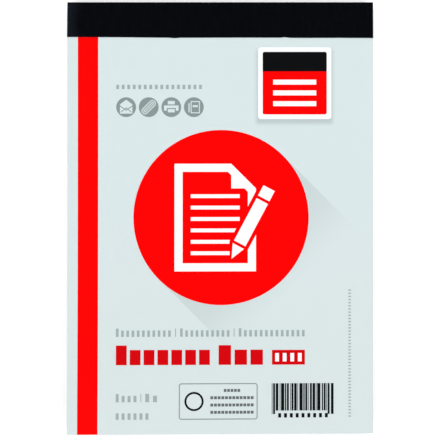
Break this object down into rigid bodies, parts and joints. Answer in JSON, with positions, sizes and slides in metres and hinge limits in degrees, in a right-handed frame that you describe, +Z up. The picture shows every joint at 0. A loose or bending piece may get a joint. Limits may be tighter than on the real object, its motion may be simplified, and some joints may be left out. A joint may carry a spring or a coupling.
{
  "type": "writing pad",
  "caption": "Top-bound A6 writing pad: ruled sheets on a grey board, a printed card cover that turns over the head, and black cloth tape round the bound end.",
  "frame": {"origin": "on the surface that the pad lies on, under the middle of its length and width", "axes": "+X across the width to the right as the cover is read, +Y along the length to the bound head, +Z up through the thickness from the back board to the cover"},
  "size_m": [0.105, 0.1484, 0.0092],
  "materials": {
    "grey_board": "matte",
    "writing_paper": "matte",
    "ruling_ink": "matte",
    "padding_glue": "satin",
    "cloth_tape": "matte",
    "cover_card": "satin",
    "tint_ink": "satin",
    "shade_ink": "satin",
    "red_ink": "satin",
    "grey_ink": "satin",
    "black_ink": "satin"
  },
  "bodies": {
    "pad": {"back_board": "grey_board", "paper_block": "writing_paper", "page_ruling": "ruling_ink", "head_glue": "padding_glue", "binding_tape": "cloth_tape", "front_cover_bound_strip": "cover_card"},
    "cover": {"front_cover": "cover_card", "cover_print_tint": "tint_ink", "cover_print_shade": "shade_ink", "cover_print_red": "red_ink", "cover_print_grey": "grey_ink", "cover_print_black": "black_ink"}
  },
  "joints": [
    {"name": "cover_hinge", "type": "hinge", "parent": "pad", "child": "cover", "pos_m": [0, 0.06223, 0.00927], "axis": [-1, 0, 0], "range_deg": [0, 175]}
  ]
}
